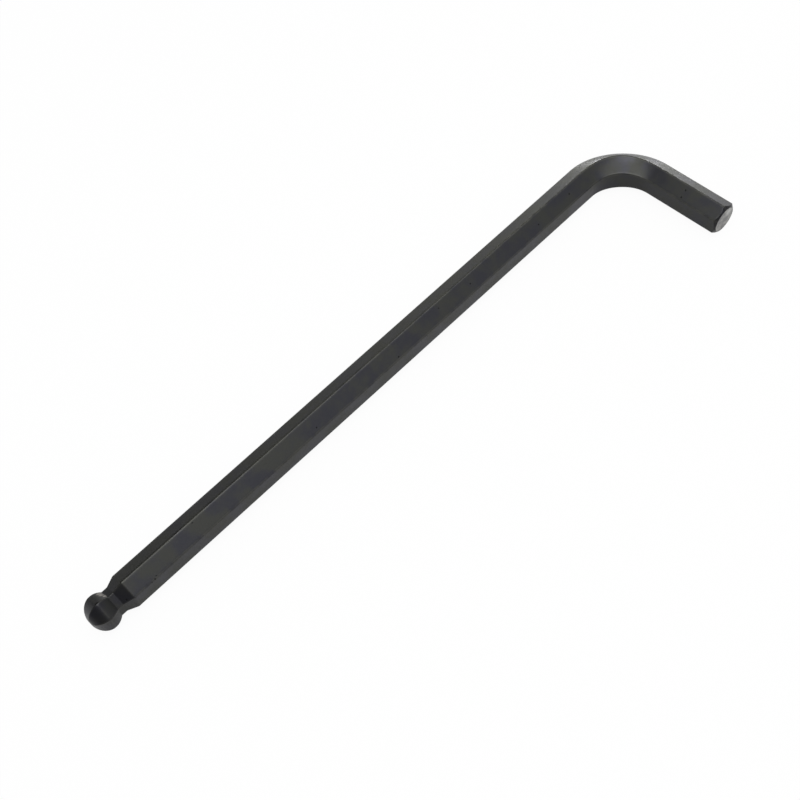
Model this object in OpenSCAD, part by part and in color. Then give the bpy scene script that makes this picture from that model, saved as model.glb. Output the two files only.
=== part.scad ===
// Hexagon key with a ball end, bent from one length of hexagon bar.
// It lies on the corner edges of its two arms. X runs along the long arm,
// Y along the short arm, and Z points up from the surface that it lies on.

/* [Bar] */
// Width of the bar across its flats, which is the size of the key
across_flats = 10; // [8:0.5:14]
// How far each corner of the bar falls short of a sharp hexagon
corner_cut = 0.1; // [0.05:0.01:0.4]

/* [Arms] */
// Overall length of the long arm, from the outer flat of the short arm to the nose of the ball
long_arm = 234; // [120:1:320]
// Overall length of the short arm, from the outer flat of the long arm to its end face
short_arm = 50; // [38:1:90]
// Radius of the flat on the inside of the bend
bend_inner_r = 13; // [6:0.5:16]

/* [Ball end] */
// How much narrower the ball is across its flats than the bar, so that it can swivel in a socket
ball_relief = 0.05; // [0.05:0.05:0.6]
// Distance from the ridge of the ball back to the neck
ball_back_len = 3.4; // [2.5:0.1:4.5]
// Distance from the ridge of the ball to the nose
nose_len = 4.4; // [3.5:0.1:6]
// Width of the small flat on the nose, across its own flats
nose_flats = 2.4; // [1:0.1:3.6]
// Angle at which the nose faces leave the ridge
nose_lead = 3.5; // [2:0.5:16]

/* [Neck] */
// Width of the neck across its flats
neck_flats = 7.6; // [5.5:0.1:7.7]
// Length of the neck between the back of the ball and the foot of the taper
neck_len = 1.9; // [1.2:0.1:8]
// Angle of the taper that leads from the neck up to the bar
taper_angle = 19.5; // [12:0.5:45]

/* [Plain end] */
// How far the round face on the end of the short arm stays inside the flats
end_face_inset = 0.5; // [0.2:0.05:1.5]
// Angle of the bevel, measured from the end face
end_bevel_angle = 40; // [25:1:60]

/* [Hidden] */
$fn = 96;

// Steps round a full circle for the arcs of the ball end, whose revolve has six sides
arc_steps = 120;

// Bar section, measured from its centre
half_flats = across_flats / 2;
sharp_corner = half_flats / cos(30);
axis_z = sharp_corner - corner_cut;

// Bend and straight runs
bend_r = bend_inner_r + half_flats;
bend_x = long_arm / 2 - half_flats - bend_r;
bend_y = short_arm / 2 - half_flats - bend_r;
long_straight = bend_x + long_arm / 2;
short_straight = bend_y + short_arm / 2;

// Half widths of the ball end, measured from its axis
half_ball = half_flats - ball_relief / 2;
half_nose = nose_flats / 2;
half_neck = neck_flats / 2;

// Round face that the bevel leaves on the plain end
end_face_r = half_flats - end_face_inset;

// Nose arc, from the ridge to the edge of the small flat
nose_fall = atan((half_ball - half_nose) / nose_len);
nose_chord = norm([nose_len, half_ball - half_nose]);
nose_r = nose_chord / (2 * sin(nose_fall - nose_lead));
nose_centre = [half_ball - nose_r * cos(nose_lead), -nose_r * sin(nose_lead)];
nose_base = max(nose_centre.x, 0);

// Back arc, level at the ridge and ending at the neck
back_drop = half_ball - half_neck;
back_r = (ball_back_len * ball_back_len + back_drop * back_drop) / (2 * back_drop);

// Neck and taper. The taper runs on past the flats of the bar, and the ball end's form
// past its own ends, so that they cut the bar cleanly.
taper_over = 1;
end_over = 1;
taper_top = half_flats + taper_over;
section_reach = taper_top;
neck_foot = -ball_back_len - neck_len;
taper_head = neck_foot - (taper_top - half_neck) / tan(taper_angle);
ridge_x = nose_len - long_arm / 2;

// Hexagon whose corners are rounded off by one circle, as on a drawn bar.
// Two flats face along X and two corners point along Y.
module bar_section() {
    intersection() {
        rotate(30)
            circle(r = sharp_corner, $fn = 6);
        circle(r = axis_z);
    }
}

// Straight bar that starts at the origin and runs along X
module straight_bar(length) {
    rotate([90, 0, 90])
        linear_extrude(height = length)
            bar_section();
}

// What is milled off beside the ball end, as an outline for the revolve: X is the
// distance from the axis to a flat and Y the distance ahead of the ridge
module side_waste() {
    difference() {
        polygon([
            [half_neck, 0],
            [taper_top, 0],
            [taper_top, taper_head],
            [half_neck, neck_foot]
        ]);
        translate([half_ball - back_r, 0])
            circle(r = back_r, $fn = arc_steps);
    }
    difference() {
        translate([nose_base, 0])
            square([taper_top - nose_base, nose_len + end_over]);
        translate(nose_centre)
            circle(r = nose_r, $fn = arc_steps);
    }
}

// The ball end as a six-sided solid along X, which runs on past both of its ends.
// The revolve sets its corners where the outline is, so the outline is widened
// from the flats to the corners.
module ball_end_form() {
    rotate([0, 90, 0])
        rotate_extrude($fn = 6)
            scale([1 / cos(30), 1])
                difference() {
                    translate([0, taper_head - end_over])
                        square([taper_top, nose_len - taper_head + 2 * end_over]);
                    side_waste();
                }
}

// What is milled off the bar all round the ball end
module ball_end_waste() {
    difference() {
        translate([taper_head, -section_reach, -section_reach])
            cube([nose_len + end_over / 2 - taper_head, 2 * section_reach, 2 * section_reach]);
        ball_end_form();
    }
}

// Quarter turn of the bar round the inside of the bend
module bend() {
    rotate_extrude(angle = 90)
        translate([bend_r, 0])
            bar_section();
}

// Short arm from the bend to its bevelled end face, along X
module short_arm_bar() {
    bevel_reach = end_face_r + short_straight / tan(end_bevel_angle);
    intersection() {
        straight_bar(short_straight);
        rotate([0, 90, 0])
            cylinder(h = short_straight, r1 = bevel_reach, r2 = end_face_r);
    }
}

// The bar, bent and bevelled, before the ball end is cut
module bent_bar() {
    translate([-long_arm / 2, bend_y + bend_r, 0])
        straight_bar(long_straight);
    translate([bend_x, bend_y, 0])
        bend();
    translate([bend_x + bend_r, bend_y, 0])
        rotate([0, 0, -90])
            short_arm_bar();
}

module hex_key() {
    color([0.2, 0.2, 0.22])
        translate([0, 0, axis_z])
            difference() {
                bent_bar();
                translate([ridge_x, bend_y + bend_r, 0])
                    rotate([0, 0, 180])
                        ball_end_waste();
            }
}

hex_key();
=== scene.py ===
"""Looks of a ball-ended hexagon key that lies on a pale studio floor.

Lengths are millimetres, unless a name says otherwise. X runs along the long arm from
the ball to the bend, Y along the short arm and Z up from the floor, as in the frame.
"""

import logging
import math
from dataclasses import dataclass
from enum import Enum
from typing import Dict, Iterator, List, Optional, Tuple, Union

import bmesh
import bpy
from bpy.types import ID, Material, Mesh, Modifier, Node, NodeSocket, NodeTree, Object
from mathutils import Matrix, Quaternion, Vector


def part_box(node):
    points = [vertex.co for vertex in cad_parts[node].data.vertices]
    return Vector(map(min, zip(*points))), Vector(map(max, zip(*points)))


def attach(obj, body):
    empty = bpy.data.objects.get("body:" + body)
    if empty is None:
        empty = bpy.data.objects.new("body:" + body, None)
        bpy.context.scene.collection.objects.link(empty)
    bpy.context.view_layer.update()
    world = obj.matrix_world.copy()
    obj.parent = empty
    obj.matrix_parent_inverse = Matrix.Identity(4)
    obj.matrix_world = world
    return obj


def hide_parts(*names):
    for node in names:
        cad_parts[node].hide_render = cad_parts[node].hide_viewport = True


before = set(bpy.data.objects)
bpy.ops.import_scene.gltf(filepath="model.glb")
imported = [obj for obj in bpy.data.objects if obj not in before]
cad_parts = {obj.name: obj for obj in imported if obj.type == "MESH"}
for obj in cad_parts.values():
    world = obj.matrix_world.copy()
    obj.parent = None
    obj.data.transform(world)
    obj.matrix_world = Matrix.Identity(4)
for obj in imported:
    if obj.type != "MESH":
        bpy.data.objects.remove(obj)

LOG = logging.getLogger("hex_key_scene")
MM = 0.001
SIDES = 6
CORNER_REACH = 1.0 / math.cos(math.pi / SIDES)
# How far the dressed key stays inside the ends of the CAD box
TUCK = 0.001
# Lengths that differ by less than this count as the same
SLACK = 0.001

Colour = Tuple[float, float, float]
Point = Tuple[float, float, float]
Spots = Tuple[Tuple[Point, float], ...]
Value = Union[float, int, Tuple[float, ...], NodeSocket]


class Mark(str, Enum):
    """Values that the rail hands to the sweep, and the sweep to the finishes."""

    SIDE = "side"
    HALF_FLATS = "half_flats"
    CORNER_ROUND = "corner_round"
    ROUND_LIMIT = "round_limit"
    CREASE = "crease"
    SQUEEZE = "squeeze"
    ALONG = "along"
    FROM_CORNER = "from_corner"


class Seen(str, Enum):
    """Rays that see the plain backdrop itself and not the light that falls on it."""

    CAMERA = "Is Camera Ray"
    GLOSSY = "Is Glossy Ray"
    TRANSMISSION = "Is Transmission Ray"


class Wiring:
    """Adds nodes to one node tree and joins them up."""

    def __init__(self, tree: NodeTree) -> None:
        """Empties the node tree and keeps it."""
        self.tree = tree
        tree.nodes.clear()

    def feed(self, socket: NodeSocket, value: Value) -> None:
        """Links an input to another node's output, or sets its own value.

        Args:
            socket: The input socket.
            value: An output socket to link from, or the value to set.
        """
        if isinstance(value, NodeSocket):
            self.tree.links.new(value, socket)
        else:
            socket.default_value = value

    def add(self, kind: str, inputs: Optional[Dict] = None, **settings: object) -> Node:
        """Adds one node.

        Args:
            kind: The node's Blender type.
            inputs: Values or links, by the input's name or number.
            **settings: Properties of the node itself.

        Returns:
            The new node.
        """
        node = self.tree.nodes.new(kind)
        for name, value in settings.items():
            setattr(node, name, value)
        for name, value in (inputs or {}).items():
            self.feed(node.inputs[name], value)
        return node

    def math(self, operation: str, *values: Value) -> NodeSocket:
        """Adds a Math node and returns its result."""
        inputs = dict(enumerate(values))
        return self.add("ShaderNodeMath", inputs, operation=operation).outputs[0]

    def plus(self, first: Value, second: Value) -> NodeSocket:
        """Returns the sum."""
        return self.math("ADD", first, second)

    def minus(self, first: Value, second: Value) -> NodeSocket:
        """Returns the first less the second."""
        return self.math("SUBTRACT", first, second)

    def times(self, first: Value, second: Value) -> NodeSocket:
        """Returns the product."""
        return self.math("MULTIPLY", first, second)

    def over(self, first: Value, second: Value) -> NodeSocket:
        """Returns the first divided by the second."""
        return self.math("DIVIDE", first, second)

    def vector(self, operation: str, *values: Value) -> NodeSocket:
        """Adds a Vector Math node.

        Args:
            operation: The node's operation.
            *values: Its inputs in order, where SCALE takes its factor second.

        Returns:
            The result, which is a number for LENGTH, DISTANCE and DOT_PRODUCT.
        """
        node = self.add("ShaderNodeVectorMath", operation=operation)
        slots = (0, "Scale") if operation == "SCALE" else range(len(values))
        for slot, value in zip(slots, values):
            self.feed(node.inputs[slot], value)
        is_number = operation in ("LENGTH", "DISTANCE", "DOT_PRODUCT")
        return node.outputs["Value" if is_number else "Vector"]

    def ramp(self, value: Value, low: float, high: float) -> NodeSocket:
        """Turns a value into 0 below low and 1 above high, smoothly in between.

        Args:
            value: The value that is read.
            low: Where the result starts to rise, or to fall if it is above high.
            high: Where the result reaches 1.

        Returns:
            The result.
        """
        flip = low > high
        inputs = {"Value": value, "From Min": min(low, high), "From Max": max(low, high)}
        inputs.update({"To Min": float(flip), "To Max": float(not flip)})
        node = self.add("ShaderNodeMapRange", inputs, interpolation_type="SMOOTHSTEP")
        return node.outputs["Result"]

    def blend(self, factor: Value, first: Value, second: Value) -> NodeSocket:
        """Mixes two colours with alpha: a factor of 0 gives the first and 1 the second."""
        inputs = {"Factor": factor, 6: first, 7: second}
        return self.add("ShaderNodeMix", inputs, data_type="RGBA").outputs[2]


def add_sockets(tree: NodeTree, way: str, kind: str, names: Tuple[str, ...]) -> None:
    """Adds sockets of one kind to a node group, where the way is INPUT or OUTPUT."""
    for name in names:
        tree.interface.new_socket(name, in_out=way, socket_type=f"NodeSocket{kind}")


def put(name: str, data: ID) -> Object:
    """Puts a new object into the scene.

    Args:
        name: The object's name.
        data: The mesh, lamp or camera that it shows.

    Returns:
        The object.
    """
    made = bpy.data.objects.new(name, data)
    bpy.context.scene.collection.objects.link(made)
    return made


def opaque(colour: Colour) -> Tuple[float, float, float, float]:
    """Returns the colour with an alpha of 1, as colour sockets want it."""
    return (*colour, 1.0)


@dataclass(frozen=True)
class Station:
    """One cross-section of the key.

    Attributes:
        along: Distance from the nose along the axis.
        half_flats: Half the width across the flats.
        corner_round: Radius on the corners.
        round_limit: Radius round the axis that cuts the section off.
        crease: From 0 to 1, how much of a crease that wears bright runs round here.
        squeeze: From 0 to 1, how far bending has pushed the section out of shape here.
    """

    along: float
    half_flats: float
    corner_round: float
    round_limit: float
    crease: float = 0.0
    squeeze: float = 0.0


@dataclass(frozen=True)
class Bar:
    """Straight stock: a hexagon with softly rounded corners."""

    half_flats: float = 5.0
    half_corners: float = 5.6735
    corner_round: float = 0.5

    def station(self, along: float, squeeze: float = 0.0) -> Station:
        """Returns the bar's own section at a distance along the axis, squeezed or not."""
        return Station(
            along, self.half_flats, self.corner_round, self.half_corners, squeeze=squeeze
        )


@dataclass(frozen=True)
class BallEnd:
    """Six-sided ball on a narrow neck, cut into the end of the bar."""

    bar: Bar
    relief: float = 0.05
    nose_len: float = 4.4
    nose_flats: float = 2.4
    nose_lead_deg: float = 3.5
    back_len: float = 3.4
    neck_flats: float = 7.6
    neck_len: float = 1.9
    taper_deg: float = 19.5
    crease_ease: float = 0.14
    crease_wear: float = 0.3
    corner_round: float = 0.2
    corner_ease: float = 0.9
    step: float = 0.07
    ease_steps: int = 4
    nose_rings: Tuple[float, ...] = (0.0, 0.35, 0.7, 0.93)

    @property
    def half_ball(self) -> float:
        """Half the width of the ball across its flats."""
        return self.bar.half_flats - self.relief / 2.0

    @property
    def neck_foot(self) -> float:
        """Distance from the nose to where the taper starts."""
        return self.nose_len + self.back_len + self.neck_len

    @property
    def shoulder(self) -> float:
        """Distance from the nose to where the taper meets the flats of the bar."""
        rise = self.bar.half_flats - self.neck_flats / 2.0
        return self.neck_foot + rise / math.tan(math.radians(self.taper_deg))

    def nose_half(self, ahead: float) -> float:
        """Reads the arc from the ridge to the nose.

        Args:
            ahead: Distance ahead of the ridge.

        Returns:
            Half the width across the flats there.
        """
        drop = self.half_ball - self.nose_flats / 2.0
        lead = math.radians(self.nose_lead_deg)
        fall = math.atan2(drop, self.nose_len)
        radius = math.hypot(self.nose_len, drop) / (2.0 * math.sin(fall - lead))
        across = math.sqrt(radius**2 - (ahead + radius * math.sin(lead)) ** 2)
        return self.half_ball - radius * math.cos(lead) + across

    def back_half(self, behind: float) -> float:
        """Reads the arc from the ridge back to the neck.

        Args:
            behind: Distance behind the ridge.

        Returns:
            Half the width across the flats there.
        """
        drop = self.half_ball - self.neck_flats / 2.0
        radius = (self.back_len**2 + drop**2) / (2.0 * drop)
        return self.half_ball - radius + math.sqrt(radius**2 - behind**2)

    def sharp_half(self, along: float) -> float:
        """Reads the profile with its creases sharp.

        Args:
            along: Distance from the nose.

        Returns:
            Half the width across the flats there.
        """
        along = max(along, 0.0)
        if along <= self.nose_len:
            return self.nose_half(self.nose_len - along)
        if along <= self.nose_len + self.back_len:
            return self.back_half(along - self.nose_len)
        climb = max(along - self.neck_foot, 0.0) * math.tan(math.radians(self.taper_deg))
        return min(self.neck_flats / 2.0 + climb, self.bar.half_flats)

    def half(self, along: float) -> float:
        """Reads the profile with its creases eased, as tumbling leaves them.

        Args:
            along: Distance from the nose.

        Returns:
            Half the width across the flats there.
        """
        ease = min(self.crease_ease, along)
        shares = [step / self.ease_steps for step in range(-self.ease_steps, self.ease_steps + 1)]
        return sum(self.sharp_half(along + ease * share) for share in shares) / len(shares)

    def crease_at(self, along: float) -> float:
        """Returns how much the ridge or the shoulder wears bright at a distance from the nose."""
        gaps = (abs(along - self.nose_len), abs(along - self.shoulder))
        return math.exp(-((min(gaps) / self.crease_wear) ** 2))

    def stations(self) -> Iterator[Station]:
        """Yields the sections from the middle of the nose to just past the shoulder."""
        limit = self.bar.half_corners
        for share in self.nose_rings:
            yield Station(0.0, share * self.nose_flats / 2.0, 0.0, limit)
        count = math.ceil((self.shoulder + self.corner_ease) / self.step)
        for index in range(count + 1):
            along = index * self.step
            half = self.half(along)
            blunt = min(max((along - self.shoulder) / self.corner_ease, 0.0), 1.0)
            corner = self.corner_round + blunt * (self.bar.corner_round - self.corner_round)
            yield Station(along, half, min(corner, half / 2.0), limit, self.crease_at(along))


@dataclass(frozen=True)
class PlainEnd:
    """Bevelled end of the short arm with its round cut face."""

    bar: Bar
    face_inset: float = 0.5
    bevel_deg: float = 40.0
    edge_break: float = 0.07
    step: float = 0.06
    rim_turns: Tuple[float, ...] = (60.0, 30.0, 0.0)
    face_rings: Tuple[float, ...] = (0.97, 0.75, 0.5, 0.25, 0.0)

    @property
    def face_r(self) -> float:
        """Radius of the round cut face."""
        return self.bar.half_flats - self.face_inset

    @property
    def depth(self) -> float:
        """Distance from the cut face to where the bevel leaves the corners."""
        return (self.bar.half_corners - self.face_r) * math.tan(math.radians(self.bevel_deg))

    def stations(self, total: float) -> Iterator[Station]:
        """Yields the sections from ahead of the bevel to the middle of the cut face.

        Args:
            total: Length of the key's axis.

        Yields:
            The sections in order.
        """
        flats, corner = self.bar.half_flats, self.bar.corner_round
        widest = self.bar.half_corners
        count = math.ceil((self.depth + 2.0 * self.edge_break) / self.step)
        for index in range(count, 0, -1):
            back = index * self.step
            limit = self.face_r + back / math.tan(math.radians(self.bevel_deg))
            yield Station(total - back, flats, corner, min(limit, widest))
        rim = self.face_r - self.edge_break
        for turn in map(math.radians, self.rim_turns):
            lift = self.edge_break * math.sin(turn)
            sink = self.edge_break * (1.0 - math.cos(turn))
            yield Station(total - sink / 2.0, flats, corner, rim + lift, 1.0)
        for share in self.face_rings:
            yield Station(total, flats, corner, share * rim)


@dataclass(frozen=True)
class BentPath:
    """Axis of the key: the long straight, a quarter turn and the short straight."""

    start: Vector
    long_straight: float
    bend_r: float
    short_straight: float

    @property
    def bend_len(self) -> float:
        """Length of the quarter turn."""
        return self.bend_r * math.pi / 2.0

    @property
    def total(self) -> float:
        """Length of the whole axis."""
        return self.long_straight + self.bend_len + self.short_straight

    def place(self, along: float) -> Tuple[Vector, Vector]:
        """Finds a point of the axis.

        Args:
            along: Distance from the nose.

        Returns:
            The point, and the direction across to the outer flat.
        """
        if along <= self.long_straight:
            return self.start + Vector((along, 0.0, 0.0)), Vector((0.0, 1.0, 0.0))
        turn = min((along - self.long_straight) / self.bend_r, math.pi / 2.0)
        rest = max(along - self.long_straight - self.bend_len, 0.0)
        side = Vector((math.sin(turn), math.cos(turn), 0.0))
        centre = self.start + Vector((self.long_straight, -self.bend_r, 0.0))
        return centre + self.bend_r * side - Vector((0.0, rest, 0.0)), side


class HexagonSweep:
    """Geometry Nodes tree that carries a six-sided section along a rail of stations."""

    INPUTS = {
        "Geometry": ("Rail",),
        "Int": ("Corner Steps", "Flat Steps"),
        "Float": ("Edge Break", "Bend Shift", "Bend Spread", "Length", "Unit"),
        "Material": ("Bar Finish", "Cut Finish"),
    }
    NUMBER_MARKS = (Mark.HALF_FLATS, Mark.CORNER_ROUND, Mark.ROUND_LIMIT, Mark.SQUEEZE)
    # Added to a whole number before a division that is rounded down
    HALF_STEP = 0.5

    def __init__(self) -> None:
        """Builds the tree with its named inputs."""
        self.tree = bpy.data.node_groups.new("hexagon_sweep", "GeometryNodeTree")
        self.wire = Wiring(self.tree)
        for kind, names in self.INPUTS.items():
            add_sockets(self.tree, "INPUT", kind, names)
        add_sockets(self.tree, "OUTPUT", "Geometry", ("Key",))
        self.given = self.wire.add("NodeGroupInput").outputs
        self.build()

    def sample(self, index: NodeSocket, mark: Optional[Mark]) -> NodeSocket:
        """Reads one value of the rail.

        Args:
            index: Number of the station.
            mark: The value's name, or None for the station's place.

        Returns:
            The value at that station.
        """
        kind = "FLOAT_VECTOR" if mark in (None, Mark.SIDE) else "FLOAT"
        if mark is None:
            read = self.wire.add("GeometryNodeInputPosition").outputs[0]
        else:
            read = self.named(mark, kind)
        inputs = {"Geometry": self.given["Rail"], "Value": read, "Index": index}
        node = self.wire.add("GeometryNodeSampleIndex", inputs, data_type=kind)
        return node.outputs["Value"]

    def whole_share(self, number: NodeSocket, size: NodeSocket) -> NodeSocket:
        """Returns how many times a size goes into a whole number."""
        nudged = self.wire.plus(number, self.HALF_STEP)
        return self.wire.math("FLOOR", self.wire.over(nudged, size))

    def direction(self, turns: NodeSocket) -> NodeSocket:
        """Turns a unit vector in the section's plane.

        Args:
            turns: How many sixths of a turn it makes from the outer side.

        Returns:
            The vector.
        """
        wire = self.wire
        angle = wire.times(turns, 2.0 * math.pi / SIDES)
        inputs = {0: wire.math("COSINE", angle), 1: wire.math("SINE", angle)}
        return wire.add("ShaderNodeCombineXYZ", inputs).outputs[0]

    def section(
        self, around: NodeSocket, values: Dict[Mark, NodeSocket]
    ) -> Tuple[NodeSocket, NodeSocket]:
        """Places the points of one section in its plane, flats first on the outside.

        Args:
            around: Number of the point round the section.
            values: The station's half width, corner radius and round limit.

        Returns:
            The point, and its distance from the nearest corner.
        """
        wire, given = self.wire, self.given
        per_side = wire.plus(given["Corner Steps"], given["Flat Steps"])
        side = self.whole_share(around, per_side)
        step = wire.minus(around, wire.times(side, per_side))
        turn = wire.math("MINIMUM", wire.over(step, given["Corner Steps"]), 1.0)
        past = wire.minus(step, given["Corner Steps"])
        share = wire.over(wire.math("MAXIMUM", past, 0.0), given["Flat Steps"])
        inset = wire.minus(values[Mark.HALF_FLATS], values[Mark.CORNER_ROUND])
        reach = wire.times(inset, CORNER_REACH)
        # The corners lie half a side before and after the middle of the flat
        corner = wire.plus(side, 0.5)
        first, second = self.direction(corner), self.direction(wire.plus(corner, 1.0))
        start = wire.vector("SCALE", first, wire.minus(1.0, share))
        core = wire.vector("ADD", start, wire.vector("SCALE", second, share))
        normal = self.direction(wire.plus(side, turn))
        rounded = wire.vector("SCALE", normal, values[Mark.CORNER_ROUND])
        full = wire.vector("ADD", wire.vector("SCALE", core, reach), rounded)
        radius = wire.vector("LENGTH", full)
        limit = values[Mark.ROUND_LIMIT]
        kept = wire.math("SMOOTH_MIN", radius, limit, given["Edge Break"])
        point = wire.vector("SCALE", full, wire.over(kept, radius))
        flank = wire.math("MINIMUM", share, wire.minus(1.0, share))
        return point, wire.times(flank, reach)

    def squeeze(
        self, point: NodeSocket, half: NodeSocket, amount: NodeSocket
    ) -> Tuple[NodeSocket, NodeSocket]:
        """Pushes a section out of shape, as a bend does: stretched outside, thick inside.

        Args:
            point: The point in the section's plane, with its outer side along X.
            half: Half the width across the flats.
            amount: From 0 to 1, how far the section is pushed.

        Returns:
            Its distance outwards and its height.
        """
        wire, given = self.wire, self.given
        outward, height, _ = wire.add("ShaderNodeSeparateXYZ", {0: point}).outputs
        ratio = wire.over(outward, half)
        bow = wire.minus(1.0, wire.times(ratio, ratio))
        bow = wire.times(bow, wire.times(amount, given["Bend Shift"]))
        lean = wire.times(ratio, wire.math("ABSOLUTE", ratio))
        thin = wire.times(lean, wire.times(amount, given["Bend Spread"]))
        height = wire.times(height, wire.minus(1.0, thin))
        return wire.plus(outward, bow), height

    def build(self) -> None:
        """Adds the nodes of the sweep."""
        wire, given = self.wire, self.given
        rail = {"Geometry": given["Rail"]}
        size = wire.add("GeometryNodeAttributeDomainSize", rail, component="MESH")
        per_side = wire.plus(given["Corner Steps"], given["Flat Steps"])
        columns = wire.plus(wire.times(per_side, float(SIDES)), 1.0)
        inputs = {"Vertices X": size.outputs["Point Count"], "Vertices Y": columns}
        geometry = wire.add("GeometryNodeMeshGrid", inputs).outputs["Mesh"]
        index = wire.add("GeometryNodeInputIndex").outputs[0]
        row = self.whole_share(index, columns)
        around = wire.minus(index, wire.times(row, columns))
        values = {mark: self.sample(row, mark) for mark in self.NUMBER_MARKS}
        point, gap = self.section(around, values)
        half, amount = values[Mark.HALF_FLATS], values[Mark.SQUEEZE]
        outward, height = self.squeeze(point, half, amount)
        across = wire.vector("SCALE", self.sample(row, Mark.SIDE), outward)
        upward = wire.add("ShaderNodeCombineXYZ", {2: height}).outputs[0]
        place = wire.vector("ADD", self.sample(row, None), wire.vector("ADD", across, upward))
        marks = {mark: self.sample(row, mark) for mark in (Mark.ALONG, Mark.CREASE)}
        marks[Mark.FROM_CORNER] = gap
        for mark, value in marks.items():
            inputs = {"Name": mark.value, "Value": value}
            geometry = self.change(geometry, "StoreNamedAttribute", inputs, data_type="FLOAT")
        along = self.named(Mark.ALONG, "FLOAT")
        is_cut = wire.math("GREATER_THAN", along, given["Length"])
        scaled = wire.vector("SCALE", place, given["Unit"])
        for kind, inputs in (
            ("SetPosition", {"Position": scaled}),
            ("MergeByDistance", {"Distance": SLACK * MM}),
            ("SetShadeSmooth", {}),
            ("RealizeInstances", {}),
            ("SetMaterial", {"Material": given["Bar Finish"]}),
            ("SetMaterial", {"Selection": is_cut, "Material": given["Cut Finish"]}),
        ):
            geometry = self.change(geometry, kind, inputs)
        wire.add("NodeGroupOutput", {"Key": geometry})

    def named(self, mark: Mark, kind: str) -> NodeSocket:
        """Returns the geometry's own value of that name and data type."""
        inputs = {"Name": mark.value}
        node = self.wire.add("GeometryNodeInputNamedAttribute", inputs, data_type=kind)
        return node.outputs["Attribute"]

    def change(
        self, geometry: NodeSocket, kind: str, inputs: Dict, **settings: object
    ) -> NodeSocket:
        """Adds a node that changes the geometry, and returns what it makes of it."""
        inputs = {"Geometry": geometry, **inputs}
        return self.wire.add(f"GeometryNode{kind}", inputs, **settings).outputs["Geometry"]

    def put_on(self, rail: Object, values: Dict[str, object]) -> Modifier:
        """Adds the tree to a rail as a modifier.

        Args:
            rail: The object whose vertices are the stations.
            values: Values of the inputs by name.

        Returns:
            The modifier, with its inputs set.
        """
        modifier = rail.modifiers.new("sweep", "NODES")
        modifier.node_group = self.tree
        for item in self.tree.interface.items_tree:
            if item.name in values:
                modifier[item.identifier] = values[item.name]
        return modifier


class SurfaceGroups:
    """Shader node groups that more than one finish uses."""

    COARSE_LAYERS = 3.0
    FINE_LAYERS = 4.0
    LAYER_FALL = 0.55
    # Values of a pattern between which a mask rises from 0 to 1
    PATCH_EDGE = (0.36, 0.64)
    PITTED_CELLS = (0.86, 0.95)
    PIT_EDGE = (0.17, 0.07)
    WEAR_EDGE = (1.0, 0.0)
    WEAR_KEPT = (0.2, 0.6)

    def __init__(self) -> None:
        """Builds every group once."""
        self.mottle = self.build_mottle()
        self.wear = self.build_wear()

    @staticmethod
    def start(name: str, inputs: Tuple[str, ...], outputs: Tuple[str, ...]) -> Wiring:
        """Opens a new shader group, whose first input is the place in millimetres.

        Args:
            name: The group's name.
            inputs: Names of its number inputs.
            outputs: Names of its number outputs.

        Returns:
            The wiring of the empty group.
        """
        tree = bpy.data.node_groups.new(name, "ShaderNodeTree")
        add_sockets(tree, "INPUT", "Vector", ("Place",))
        add_sockets(tree, "INPUT", "Float", inputs)
        add_sockets(tree, "OUTPUT", "Float", outputs)
        return Wiring(tree)

    @classmethod
    def noise(cls, wire: Wiring, place: NodeSocket, size: Value, detail: float) -> NodeSocket:
        """Adds a noise pattern.

        Args:
            wire: Where the nodes go.
            place: Coordinates in millimetres.
            size: Size of the pattern's patches in millimetres.
            detail: How many finer layers it has.

        Returns:
            The pattern, around 0.5.
        """
        scale = wire.over(1.0, size)
        inputs = {"Vector": place, "Scale": scale, "Detail": detail, "Roughness": cls.LAYER_FALL}
        return wire.add("ShaderNodeTexNoise", inputs).outputs["Fac"]

    def build_mottle(self) -> NodeTree:
        """Builds the patches, specks and pits of a blackened surface.

        Returns:
            The group's node tree.
        """
        inputs = ("Patch Size", "Speck Size", "Pit Spacing")
        wire = self.start("surface_mottle", inputs, ("Patch", "Speck", "Pit"))
        given = wire.add("NodeGroupInput").outputs
        patch = self.noise(wire, given["Place"], given["Patch Size"], self.COARSE_LAYERS)
        speck = self.noise(wire, given["Place"], given["Speck Size"], self.FINE_LAYERS)
        scale = wire.over(1.0, given["Pit Spacing"])
        cells = wire.add("ShaderNodeTexVoronoi", {"Vector": given["Place"], "Scale": scale})
        pick = wire.add("ShaderNodeSeparateColor", {0: cells.outputs["Color"]}).outputs[0]
        rare = wire.ramp(pick, *self.PITTED_CELLS)
        dot = wire.ramp(cells.outputs["Distance"], *self.PIT_EDGE)
        pit = wire.times(dot, rare)
        patch = wire.ramp(patch, *self.PATCH_EDGE)
        wire.add("NodeGroupOutput", {"Patch": patch, "Speck": speck, "Pit": pit})
        return wire.tree

    def build_wear(self) -> NodeTree:
        """Builds the mask of bright wear along corners and creases.

        Returns:
            The group's node tree.
        """
        inputs = ("From Corner", "Crease", "Width", "Break-up Size")
        wire = self.start("edge_wear", inputs, ("Worn",))
        given = wire.add("NodeGroupInput").outputs
        corner = wire.over(given["From Corner"], given["Width"])
        corner = wire.ramp(corner, *self.WEAR_EDGE)
        patchy = self.noise(wire, given["Place"], given["Break-up Size"], self.COARSE_LAYERS)
        edge = wire.math("MAXIMUM", corner, given["Crease"])
        kept = wire.ramp(patchy, *self.WEAR_KEPT)
        wire.add("NodeGroupOutput", {"Worn": wire.times(edge, kept)})
        return wire.tree


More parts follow.
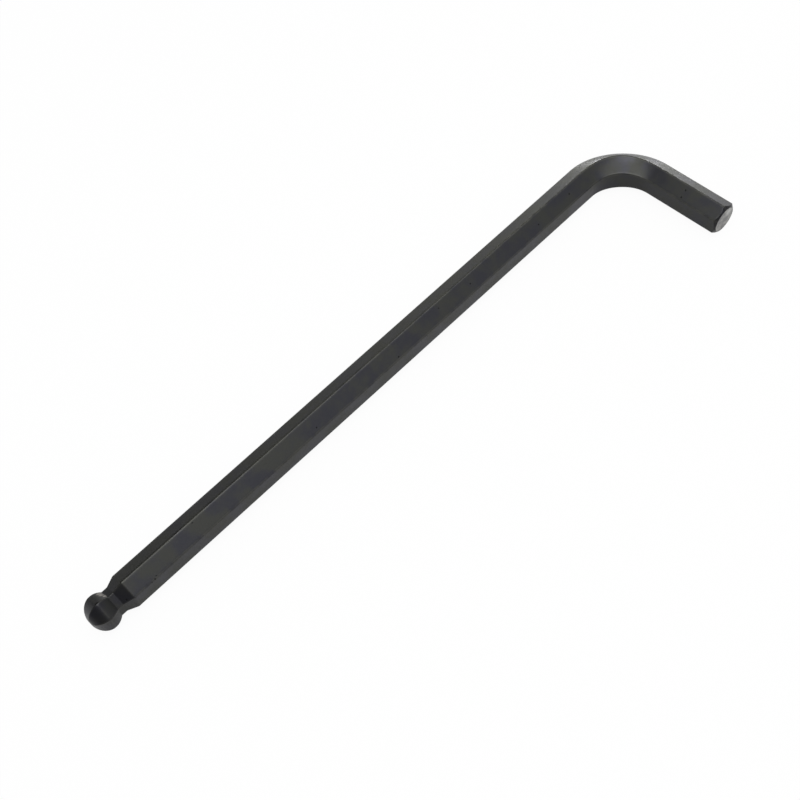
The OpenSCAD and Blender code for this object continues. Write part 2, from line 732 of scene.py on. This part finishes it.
@dataclass(frozen=True)
class EndShading:
    """Where the blackened bar was milled: the ball end and the bevel, which are painted darker as
    shade.

    Attributes:
        ball_len: Length of the ball end, from the nose.
        axis: Point on the short arm's axis.
        total: Length of the key's axis.
        face_r: Radius of the cut face.
        bevel_slope: How much wider the bevel gets for each step back from the cut face.
        fade: Distance over which the ball end's tone goes over into the bar's.
        bevel_edge: Distance from the bevel at which its tone has gone over into the bar's.
            It starts to at a quarter of that.
    """

    ball_len: float
    axis: Vector
    total: float
    face_r: float
    bevel_slope: float
    fade: float = 0.4
    bevel_edge: float = 0.12

    def radius(self, wire: Wiring, place: NodeSocket) -> NodeSocket:
        """Returns how far a place in millimetres is from the short arm's axis."""
        offset = wire.vector("SUBTRACT", place, tuple(self.axis))
        return wire.vector("LENGTH", wire.vector("MULTIPLY", offset, (1.0, 0.0, 1.0)))

    def unshaded_share(self, wire: Wiring, radius: NodeSocket, along: NodeSocket) -> NodeSocket:
        """Tells the bar's own surface from the milled one, which is painted darker as shade.

        Args:
            wire: Where the nodes go.
            radius: Distance from the short arm's axis.
            along: Distance from the nose along the axis.

        Returns:
            1 on the bar's own surface and 0 on the ball end and the bevel.
        """
        past_ball = wire.ramp(along, self.ball_len, self.ball_len + self.fade)
        back = wire.minus(self.total, along)
        cone = wire.plus(wire.times(back, self.bevel_slope), self.face_r)
        short_of = wire.minus(cone, radius)
        off_bevel = wire.ramp(short_of, self.bevel_edge / 4.0, self.bevel_edge)
        return wire.times(past_ball, off_bevel)


@dataclass(frozen=True)
class SteelFinish:
    """A steel surface, blackened or uncoated.

    Attributes:
        name: The material's name.
        cool: Colour of its bluish patches.
        warm: Colour of its olive patches.
        worn: Colour where its edges are worn.
        pit: Colour of its pits.
        roughness: Roughness of the sound surface.
        rough_spread: How much the roughness changes from patch to patch.
        worn_share: Share of the wear that shows.
        grain_height: Height of the fine grain.
        pit_depth: Depth of the pits.
        painted_shade_tone: Brightness of the painted shade on the milled surfaces beside the
            bar's, which is 1.
        ring_height: Height of turning rings round the short arm's axis.
        patch_size: Size of the patches of colour.
        speck_size: Size of the fine specks.
        pit_spacing: Size of the cells of which a few hold a pit.
        wear_width: How far the wear reaches from a corner.
        break_up: Size of the gaps in the wear.
        ring_pitch: Distance between two turning rings.
        highlight_colour: Colour of the painted highlights.
        raggedness: How ragged the edges of nicks and painted highlights are.
        spot_core: Share of their radius inside which they are at full strength.
        nicks: Middle and radius of each nick, with the place in the part's frame.
        painted_highlights: Middle and radius of each painted highlight, likewise.
    """

    name: str
    cool: Colour
    warm: Colour
    worn: Colour
    pit: Colour
    roughness: float
    rough_spread: float
    worn_share: float
    grain_height: float
    pit_depth: float
    painted_shade_tone: float = 1.0
    ring_height: float = 0.0
    patch_size: float = 7.0
    speck_size: float = 0.5
    pit_spacing: float = 2.3
    wear_width: float = 0.3
    break_up: float = 3.5
    ring_pitch: float = 0.3
    highlight_colour: Colour = (0.20, 0.186, 0.173)
    raggedness: float = 2.0
    spot_core: float = 0.2
    nicks: Spots = ()
    painted_highlights: Spots = ()

    def build(self, groups: SurfaceGroups, end_shading: EndShading) -> Material:
        """Makes the material.

        Args:
            groups: The shared shader groups.
            end_shading: Where the bar was milled and is painted darker as shade.

        Returns:
            The material.
        """
        material = bpy.data.materials.new(self.name)
        material.use_nodes = True
        wire = Wiring(material.node_tree)
        place = wire.add("ShaderNodeTexCoord").outputs["Object"]
        place = wire.vector("SCALE", place, 1.0 / MM)
        inputs = {
            "Place": place,
            "Patch Size": self.patch_size,
            "Speck Size": self.speck_size,
            "Pit Spacing": self.pit_spacing,
        }
        mottle = wire.add("ShaderNodeGroup", inputs, node_tree=groups.mottle)
        inputs = {
            "Place": place,
            "From Corner": self.attribute(wire, Mark.FROM_CORNER),
            "Crease": self.attribute(wire, Mark.CREASE),
            "Width": self.wear_width,
            "Break-up Size": self.break_up,
        }
        wear = wire.add("ShaderNodeGroup", inputs, node_tree=groups.wear)
        patch, speck, pit = (mottle.outputs[label] for label in ("Patch", "Speck", "Pit"))
        pit = wire.math("MAXIMUM", pit, self.add_spots(wire, place, speck, self.nicks))
        worn = wire.times(wear.outputs["Worn"], self.worn_share)
        colour = wire.blend(patch, opaque(self.cool), opaque(self.warm))
        colour = wire.blend(worn, colour, opaque(self.worn))
        radius = end_shading.radius(wire, place)
        # The milled ball end and bevel are painted darker, as shade.
        tone = end_shading.unshaded_share(wire, radius, self.attribute(wire, Mark.ALONG))
        tone = wire.plus(wire.times(tone, 1.0 - self.painted_shade_tone), self.painted_shade_tone)
        colour = wire.vector("SCALE", colour, tone)
        # Painted highlights: bright spots that stand in for glints of light.
        highlight_mask = self.add_spots(wire, place, speck, self.painted_highlights)
        colour = wire.blend(highlight_mask, colour, opaque(self.highlight_colour))
        colour = wire.blend(pit, colour, opaque(self.pit))
        uneven = wire.minus(wire.plus(patch, speck), 1.0)
        roughness = wire.plus(wire.times(uneven, self.rough_spread), self.roughness)
        grain = wire.times(speck, self.grain_height)
        height = wire.minus(grain, wire.times(pit, self.pit_depth))
        if self.ring_height:
            height = wire.plus(height, self.rings(wire, radius))
        height = wire.times(height, MM)
        bump = wire.add("ShaderNodeBump", {"Height": height, "Distance": 1.0})
        inputs = {
            "Base Color": colour,
            "Metallic": 1.0,
            "Roughness": roughness,
            "Normal": bump.outputs["Normal"],
        }
        shader = wire.add("ShaderNodeBsdfPrincipled", inputs)
        wire.add("ShaderNodeOutputMaterial", {"Surface": shader.outputs[0]})
        return material

    @staticmethod
    def attribute(wire: Wiring, mark: Mark) -> NodeSocket:
        """Returns the mesh's own value of that name."""
        return wire.add("ShaderNodeAttribute", attribute_name=mark.value).outputs["Fac"]

    def add_spots(self, wire: Wiring, place: NodeSocket, speck: NodeSocket, spots: Spots) -> Value:
        """Adds ragged spots with soft edges.

        Args:
            wire: Where the nodes go.
            place: Coordinates in millimetres.
            speck: The fine specks, which make the edges ragged.
            spots: Middle and radius of each spot.

        Returns:
            1 in the spots and 0 elsewhere.
        """
        mask: Value = 0.0
        ragged = wire.times(wire.minus(speck, 0.5), self.raggedness)
        for middle, reach in spots:
            share = wire.over(wire.vector("DISTANCE", place, middle), reach)
            spot = wire.ramp(wire.plus(share, ragged), 1.0, self.spot_core)
            mask = wire.math("MAXIMUM", mask, spot)
        return mask

    def rings(self, wire: Wiring, radius: NodeSocket) -> NodeSocket:
        """Returns the height of turning rings at a distance from the short arm's axis."""
        wave = wire.math("SINE", wire.times(radius, 2.0 * math.pi / self.ring_pitch))
        return wire.times(wave, self.ring_height)


BLACK_OXIDE = SteelFinish(
    name="black_oxide",
    cool=(0.0392, 0.0394, 0.0446),
    warm=(0.0435, 0.0440, 0.0405),
    worn=(0.100, 0.098, 0.088),
    pit=(0.014, 0.014, 0.014),
    roughness=0.36,
    rough_spread=0.10,
    worn_share=0.35,
    grain_height=0.010,
    pit_depth=0.03,
    # Painted shade: the milled ball end and bevel are darkened to this share.
    painted_shade_tone=0.64,
    nicks=(
        ((-96.5, 15.1, 8.5), 0.36),
        ((-97.6, 15.0, 8.5), 0.26),
        ((-95.6, 15.5, 8.8), 0.26),
    ),
    # Painted highlight on the ball's upper side beside the neck.
    painted_highlights=(
        ((-110.1, 23.3, 8.8), 1.1),
        ((-109.9, 22.3, 9.1), 1.1),
        ((-109.6, 21.2, 9.6), 0.8),
    ),
)

CUT_STEEL = SteelFinish(
    name="cut_steel",
    cool=(0.12, 0.12, 0.12),
    warm=(0.30, 0.295, 0.28),
    worn=(0.34, 0.34, 0.33),
    pit=(0.08, 0.075, 0.07),
    roughness=0.38,
    rough_spread=0.12,
    worn_share=0.3,
    grain_height=0.006,
    pit_depth=0.01,
    ring_height=0.004,
    patch_size=1.6,
    highlight_colour=(0.39, 0.39, 0.38),
    # Painted highlight at the top right of the cut face.
    painted_highlights=(((113.9, -25.0, 8.0), 2.2),),
)


@dataclass
class HexKey:
    """The whole key, bent from one bar."""

    low: Vector
    high: Vector
    corner_steps: int = 8
    flat_steps: int = 10
    bend_inner_r: float = 13.0
    bend_shift: float = 1.0
    bend_spread: float = 0.16
    straight_step: float = 1.5
    bend_step_deg: float = 1.5
    node: str = "hex_key"
    piece_name: str = "key_body"

    def __post_init__(self) -> None:
        """Works out the bar, its ends and its axis from the frame's box."""
        self.bar = Bar(half_corners=(self.high.z - self.low.z) / 2.0)
        self.ball_end = BallEnd(self.bar)
        self.plain_end = PlainEnd(self.bar)
        half = self.bar.half_flats
        bend_r = self.bend_inner_r + half
        start = Vector((self.low.x + TUCK, self.high.y - half, self.bar.half_corners))
        self.path = BentPath(
            start=start,
            long_straight=self.high.x - self.low.x - half - bend_r - TUCK,
            bend_r=bend_r,
            short_straight=self.high.y - self.low.y - half - bend_r - TUCK,
        )

    @property
    def end_shading(self) -> EndShading:
        """Where the bar was milled and is painted darker as shade."""
        total = self.path.total
        slope = 1.0 / math.tan(math.radians(self.plain_end.bevel_deg))
        shoulder, face_r = self.ball_end.shoulder, self.plain_end.face_r
        return EndShading(shoulder, self.path.place(total)[0], total, face_r, slope)

    def run(self, start: float, end: float, step: float) -> Iterator[Station]:
        """Yields evenly spaced plain sections.

        Args:
            start: Distance from the nose that they start at.
            end: Distance from the nose that they stop short of.
            step: About how far apart they are.

        Yields:
            The sections in order.
        """
        count = math.ceil((end - start) / step)
        for index in range(count):
            yield self.bar.station(start + (end - start) * index / count)

    def bend_run(self) -> Iterator[Station]:
        """Yields the sections of the bend, squeezed most in its middle."""
        count = math.ceil(90.0 / self.bend_step_deg)
        for index in range(count):
            share = index / count
            along = self.path.long_straight + share * self.path.bend_len
            yield self.bar.station(along, math.sin(math.pi * share) ** 2)

    def stations(self) -> List[Station]:
        """Returns every section of the key from the nose to the cut face."""
        path = self.path
        found = list(self.ball_end.stations())
        finish = list(self.plain_end.stations(path.total))
        bend_end = path.long_straight + path.bend_len
        arm_start = found[-1].along + self.straight_step / 2.0
        found += self.run(arm_start, path.long_straight, self.straight_step)
        found += self.bend_run()
        found += self.run(bend_end, finish[0].along, self.straight_step)
        return found + finish

    def rail(self) -> Object:
        """Makes the row of stations that the sweep reads.

        Returns:
            An object with one vertex for each station.
        """
        stations = self.stations()
        places = [self.path.place(station.along) for station in stations]
        mesh = bpy.data.meshes.new("key_rail")
        edges = [(index, index + 1) for index in range(len(stations) - 1)]
        mesh.from_pydata([point for point, _ in places], edges, [])
        sides = mesh.attributes.new(Mark.SIDE.value, "FLOAT_VECTOR", "POINT")
        for index, (_, side) in enumerate(places):
            sides.data[index].vector = side
        for mark in (Mark.ALONG, Mark.CREASE) + HexagonSweep.NUMBER_MARKS:
            layer = mesh.attributes.new(mark.value, "FLOAT", "POINT")
            for index, station in enumerate(stations):
                layer.data[index].value = getattr(station, mark.value)
        return put("key_rail", mesh)

    def build(self, groups: SurfaceGroups) -> None:
        """Sweeps the key and makes it ride on the frame in place of the plain solid.

        Args:
            groups: The shared shader groups.
        """
        rail = self.rail()
        values = {
            "Corner Steps": self.corner_steps,
            "Flat Steps": self.flat_steps,
            "Edge Break": self.plain_end.edge_break,
            "Bend Shift": self.bend_shift,
            "Bend Spread": self.bend_spread,
            "Length": self.path.total - SLACK,
            "Unit": MM,
            "Bar Finish": BLACK_OXIDE.build(groups, self.end_shading),
            "Cut Finish": CUT_STEEL.build(groups, self.end_shading),
        }
        modifier = HexagonSweep().put_on(rail, values)
        graph = bpy.context.evaluated_depsgraph_get()
        mesh = bpy.data.meshes.new_from_object(rail.evaluated_get(graph))
        rail.modifiers.remove(modifier)
        bpy.data.objects.remove(rail)
        self.face_outwards(mesh)
        piece = put(self.piece_name, mesh)
        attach(piece, "root")
        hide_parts(self.node)
        LOG.info("%s: %d faces, %d materials", piece.name, len(mesh.polygons), len(mesh.materials))

    @staticmethod
    def face_outwards(mesh: Mesh) -> None:
        """Turns every face outwards.

        Args:
            mesh: A closed mesh.
        """
        work = bmesh.new()
        work.from_mesh(mesh)
        bmesh.ops.recalc_face_normals(work, faces=work.faces)
        work.to_mesh(mesh)
        work.free()


@dataclass(frozen=True)
class SoftBox:
    """A square soft lamp.

    Attributes:
        name: The lamp's name.
        place: Where its middle is.
        aim: The point that it faces.
        width: Length of its sides.
        glow: Brightness of its face, where 1 is white.
        watts: Power that each square metre of its face needs for a glow of 1.
    """

    name: str
    place: Point
    aim: Point
    width: float
    glow: float
    watts: float = 4.0

    def build(self) -> None:
        """Makes the lamp."""
        lamp = bpy.data.lights.new(self.name, "AREA")
        lamp.shape = "SQUARE"
        lamp.size = self.width * MM
        lamp.energy = self.glow * self.watts * lamp.size**2
        holder = put(self.name, lamp)
        place, aim = Vector(self.place) * MM, Vector(self.aim) * MM
        holder.location = place
        holder.rotation_euler = (aim - place).to_track_quat("-Z", "Y").to_euler()
        LOG.info("lamp %s, %.2f W", self.name, lamp.energy)


@dataclass(frozen=True)
class MirroredRoom:
    """The room as the steel sees it, by the direction that it mirrors.

    Attributes:
        dim: Brightness where nothing else holds.
        bright: Brightness to the right and in front.
        behind: Brightness straight behind the key.
        top: What the ceiling adds.
        left: What a pale patch on the left adds.
        left_way: Direction of that patch.
        cool: Tint in front and above.
        warm: Tint behind the key.
    """

    dim: float = 0.5
    bright: float = 0.9
    behind: float = 0.03
    top: float = 0.4
    left: float = 0.7
    left_way: Point = (-0.907, 0.400, 0.134)
    cool: Colour = (0.99, 1.0, 1.03)
    warm: Colour = (1.04, 1.05, 0.90)

    # Where each part starts and where it is full. RIGHT and the ACROSS pairs are read from
    # the direction's X, FRONT, BEHIND and WARM_END from its Y, and CEILING from its Z.
    # LEFT_PATCH is read from the cosine of the angle to left_way.
    RIGHT = (0.05, 0.6)
    FRONT, FRONT_ACROSS = (0.0, -0.5), (-0.4, 0.05)
    BEHIND, BEHIND_ACROSS = (0.1, 0.8), (-0.7, -0.2)
    CEILING = (0.8, 0.97)
    LEFT_PATCH = (0.93, 0.985)
    WARM_END = (0.1, 0.7)

    def build(self, wire: Wiring) -> Node:
        """Works out the room's light in each direction.

        Args:
            wire: Where the nodes go.

        Returns:
            The Background node that gives it.
        """
        toward = wire.add("ShaderNodeTexCoord").outputs["Generated"]
        across, away, upward = wire.add("ShaderNodeSeparateXYZ", {0: toward}).outputs
        front, front_across = wire.ramp(away, *self.FRONT), wire.ramp(across, *self.FRONT_ACROSS)
        back, back_across = wire.ramp(away, *self.BEHIND), wire.ramp(across, *self.BEHIND_ACROSS)
        fall = wire.times(wire.times(back, back_across), self.behind - self.dim)
        dim = wire.plus(fall, self.dim)
        front = wire.times(front, front_across)
        share = wire.math("MAXIMUM", wire.ramp(across, *self.RIGHT), front)
        rise = wire.times(wire.minus(self.bright, dim), share)
        near_left = wire.vector("DOT_PRODUCT", toward, self.left_way)
        level = wire.plus(rise, dim)
        for place, ends, glow in (
            (upward, self.CEILING, self.top),
            (near_left, self.LEFT_PATCH, self.left),
        ):
            level = wire.plus(level, wire.times(wire.ramp(place, *ends), glow))
        tint = wire.blend(wire.ramp(away, *self.WARM_END), opaque(self.cool), opaque(self.warm))
        return wire.add("ShaderNodeBackground", {"Color": tint, "Strength": level})


@dataclass(frozen=True)
class Studio:
    """Pale floor, white backdrop, soft lamps and the room that the steel mirrors.

    Attributes:
        floor_width: Length of the floor's sides.
        floor_drop: How far the floor lies below the key.
        floor_white: How white the floor is.
        backdrop_share: Share of plain white in the floor that the camera sees.
        mirror_share: The same share in the floor that the steel mirrors.
        daylight: Light from all round.
        room: The room that the steel mirrors.
        lamps: The soft lamps.
    """

    floor_width: float = 6000.0
    floor_drop: float = 0.02
    floor_white: float = 0.9
    backdrop_share: float = 0.95
    mirror_share: float = 0.3
    daylight: float = 0.7
    room: MirroredRoom = MirroredRoom()
    lamps: Tuple[SoftBox, ...] = (
        SoftBox("overhead_box", (-60.0, -40.0, 600.0), (60.0, 0.0, 0.0), 300.0, 3.0),
        SoftBox("far_box", (250.0, -10.0, 600.0), (60.0, 0.0, 0.0), 240.0, 1.6),
        SoftBox("left_strip", (425.0, 400.0, 32.0), (105.0, 15.0, 0.0), 62.0, 25.0),
        SoftBox("right_strip", (567.0, 205.0, 30.0), (105.0, 15.0, 0.0), 58.0, 24.0),
    )

    @staticmethod
    def seen(wire: Wiring, camera: Value, mirror: Value) -> NodeSocket:
        """Picks a value by the kind of ray.

        Args:
            wire: Where the nodes go.
            camera: The value for rays from the camera.
            mirror: The value for mirrored and transmitted rays.

        Returns:
            That value, or 0 for all other rays.
        """
        path = wire.add("ShaderNodeLightPath").outputs
        either = wire.math("MAXIMUM", path[Seen.GLOSSY.value], path[Seen.TRANSMISSION.value])
        either = wire.times(either, mirror)
        return wire.math("MAXIMUM", either, wire.times(path[Seen.CAMERA.value], camera))

    @staticmethod
    def mix(wire: Wiring, share: NodeSocket, first: Node, second: Node) -> Node:
        """Mixes two shaders: a share of 0 gives the first and 1 the second."""
        inputs = {0: share, 1: first.outputs[0], 2: second.outputs[0]}
        return wire.add("ShaderNodeMixShader", inputs)

    def build_floor(self) -> None:
        """Makes the floor, which shows white but keeps the key's shadow."""
        half = self.floor_width * MM / 2.0
        corners = [(-half, -half), (half, -half), (half, half), (-half, half)]
        mesh = bpy.data.meshes.new("floor")
        drop = -self.floor_drop * MM
        mesh.from_pydata([(x, y, drop) for x, y in corners], [], [(0, 1, 2, 3)])
        material = bpy.data.materials.new("floor_white")
        material.use_nodes = True
        wire = Wiring(material.node_tree)
        matt = wire.add("ShaderNodeBsdfDiffuse", {"Color": opaque((self.floor_white,) * 3)})
        plain = wire.add("ShaderNodeEmission", {"Strength": 1.0})
        share = self.seen(wire, self.backdrop_share, self.mirror_share)
        mixed = self.mix(wire, share, matt, plain)
        wire.add("ShaderNodeOutputMaterial", {"Surface": mixed.outputs[0]})
        mesh.materials.append(material)
        put("floor", mesh)

    def build_world(self) -> None:
        """Makes the world: white to the camera, a softly shaded room to gloss."""
        world = bpy.data.worlds.new("studio")
        world.use_nodes = True
        bpy.context.scene.world = world
        wire = Wiring(world.node_tree)
        mirrored = self.room.build(wire)
        white = opaque((1.0, 1.0, 1.0))
        plain = wire.add("ShaderNodeBackground", {"Color": white, "Strength": 1.0})
        light = wire.add("ShaderNodeBackground", {"Color": white, "Strength": self.daylight})
        mixed = self.mix(wire, self.seen(wire, 0.0, 1.0), light, mirrored)
        mixed = self.mix(wire, self.seen(wire, 1.0, 0.0), mixed, plain)
        wire.add("ShaderNodeOutputWorld", {"Surface": mixed.outputs[0]})

    def build(self) -> None:
        """Makes the floor, the world and the lamps."""
        self.build_floor()
        self.build_world()
        for lamp in self.lamps:
            lamp.build()
        bpy.context.scene.view_settings.view_transform = "Standard"
        LOG.info("studio with %d lamps", len(self.lamps))


@dataclass(frozen=True)
class PhotoCamera:
    """Camera at the photograph's place and angle."""

    stand: Point = (-134.36, -150.59, 323.44)
    aim: Point = (-7.45, 6.14, 5.67)
    roll_deg: float = -8.145
    focal_px: float = 1244.37
    frame_px: float = 800.0
    sensor: float = 36.0
    nearest: float = 10.0

    def build(self) -> None:
        """Makes the camera and gives it to the scene."""
        lens = bpy.data.cameras.new("photo_camera")
        lens.sensor_width = self.sensor
        lens.lens = self.focal_px / self.frame_px * self.sensor
        lens.clip_start = self.nearest * MM
        camera = put("photo_camera", lens)
        stand, aim = Vector(self.stand) * MM, Vector(self.aim) * MM
        level = (aim - stand).to_track_quat("-Z", "Y")
        roll = Quaternion((0.0, 0.0, 1.0), math.radians(self.roll_deg))
        camera.location = stand
        camera.rotation_mode = "QUATERNION"
        camera.rotation_quaternion = level @ roll
        bpy.context.scene.camera = camera
        LOG.info("camera with a %.1f mm lens", lens.lens)


def main() -> None:
    """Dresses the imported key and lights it."""
    logging.basicConfig(level=logging.INFO, format="%(name)s: %(message)s")
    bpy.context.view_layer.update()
    low, high = (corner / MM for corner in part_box("hex_key"))
    HexKey(low, high).build(SurfaceGroups())
    Studio().build()
    PhotoCamera().build()


if __name__ == "__main__":
    main()
